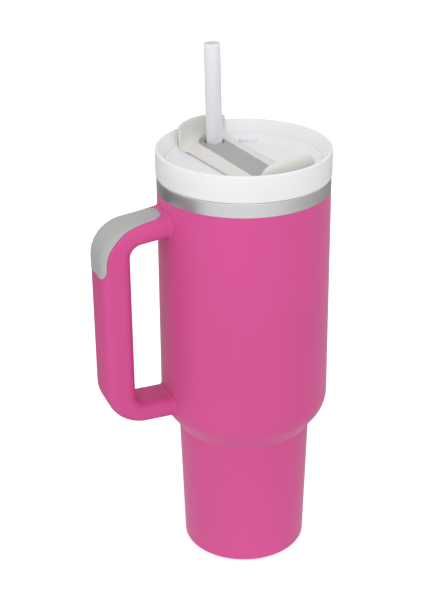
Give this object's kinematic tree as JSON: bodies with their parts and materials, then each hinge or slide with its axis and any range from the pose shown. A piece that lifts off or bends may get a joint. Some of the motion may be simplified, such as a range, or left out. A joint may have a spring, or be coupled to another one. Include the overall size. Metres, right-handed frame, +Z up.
{
  "type": "insulated tumbler",
  "caption": "Tall double-walled steel tumbler with a cup-holder stem, a side handle with a soft inlay, a push-in lid, a turning cover with a bar, and a straw.",
  "frame": {"origin": "centre of the base, on the plane that the tumbler stands on", "axes": "+Z up along the vessel, -X towards the handle, +Y towards the straw side"},
  "size_m": [0.1407, 0.1008, 0.3096],
  "materials": {
    "pink_coat": "fine orange-peel powder coat, satin",
    "steel": "bare stainless steel, turned brushing",
    "copper_foil": "thin copper-coated foil",
    "getter_pill": "sintered pellet",
    "seal_glass": "fused glass bead",
    "pink_plastic": "moulded, satin",
    "grey_inlay": "soft-touch elastomer, matte",
    "screw_steel": "machine finish",
    "white_plastic": "moulded polypropylene, satin",
    "clear_silicone": "translucent silicone, matte",
    "cream_plastic": "moulded, satin",
    "grey_panel": "moulded, matte",
    "straw_plastic": "frosted translucent tube"
  },
  "bodies": {
    "vessel": {"outer_wall": "pink_coat", "inner_liner": "steel", "lip_ring": "steel", "radiation_foil": "copper_foil", "vacuum_floor": "steel", "getter": "getter_pill", "seal_plug": "seal_glass", "base_disc": "steel", "handle_grip": "pink_plastic", "grip_inlay": "grey_inlay", "upper_bracket": "steel", "lower_bracket": "steel", "handle_screws": "screw_steel"},
    "lid": {"lid_shell": "white_plastic", "lid_plug": "white_plastic", "lid_gasket": "clear_silicone"},
    "cover": {"cover_disc": "white_plastic", "cover_bar": "cream_plastic", "cover_panel": "grey_panel", "straw_grommet": "clear_silicone", "pivot_pin": "white_plastic", "pivot_clip": "screw_steel", "cover_seal": "clear_silicone"},
    "straw": {"straw": "straw_plastic"}
  },
  "joints": [
    {"name": "lid_lift", "type": "slide", "parent": "vessel", "child": "lid", "axis": [0, 0, 1], "range_m": [0, 0.26]},
    {"name": "cover_turn", "type": "hinge", "parent": "lid", "child": "cover", "pos_m": [0, 0, 0.245], "axis": [0, 0, 1], "range_deg": [-90, 0]},
    {"name": "straw_pull", "type": "slide", "parent": "cover", "child": "straw", "axis": [-0.0046, 0.0293, 0.9996], "range_m": [0, 0.23]}
  ]
}
